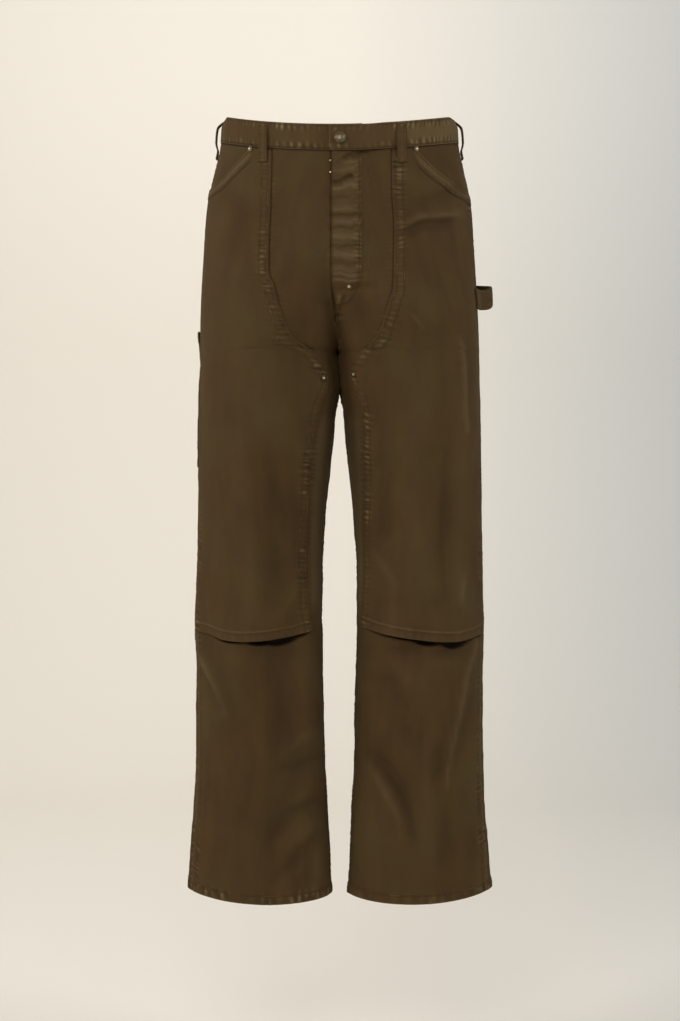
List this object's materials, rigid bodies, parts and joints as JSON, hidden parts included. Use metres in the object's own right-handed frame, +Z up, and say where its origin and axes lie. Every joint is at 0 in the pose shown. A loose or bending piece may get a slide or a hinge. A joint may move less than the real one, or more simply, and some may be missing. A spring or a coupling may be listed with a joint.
{
  "type": "straight double-front work trousers, filled out and empty",
  "caption": "Straight-leg work trousers in brown cotton with a double front, slanted pockets, belt loops and a hammer loop, filled out with no wearer.",
  "frame": {"origin": "centre of the waist opening, level with the waistband's upper edge at the side seams", "axes": "+Z up, the front faces -Y, +X towards the wearer's left; the legs hang to -Z"},
  "size_m": [0.4134, 0.2712, 1.0674],
  "materials": {
    "cotton_body": "dark brown heavy cotton, brushed and matt",
    "cotton_double": "the same cotton, second layer, twin stitched",
    "cotton_trim": "the same cotton, folded and topstitched, slightly worn at the edges",
    "antique_brass": "antique brass, worn bright on top"
  },
  "bodies": {
    "root": {"front_right_panel": "cotton_body", "front_left_panel": "cotton_body", "back_right_panel": "cotton_body", "back_left_panel": "cotton_body", "pocket_facing_right": "cotton_body", "pocket_facing_left": "cotton_body", "double_front_right": "cotton_double", "double_front_left": "cotton_double", "tool_pocket_right": "cotton_double", "fly_placket": "cotton_double", "waistband": "cotton_trim", "belt_loop_front_right": "cotton_trim", "belt_loop_front_left": "cotton_trim", "belt_loop_side_right": "cotton_trim", "belt_loop_side_left": "cotton_trim", "belt_loop_back": "cotton_trim", "hammer_loop": "cotton_trim", "waist_button": "antique_brass", "fly_stud_upper": "antique_brass", "fly_stud_lower": "antique_brass", "pocket_rivet_right": "antique_brass", "pocket_rivet_left": "antique_brass", "crotch_rivet_right": "antique_brass", "crotch_rivet_left": "antique_brass", "fly_rivet": "antique_brass"}
  },
  "joints": []
}
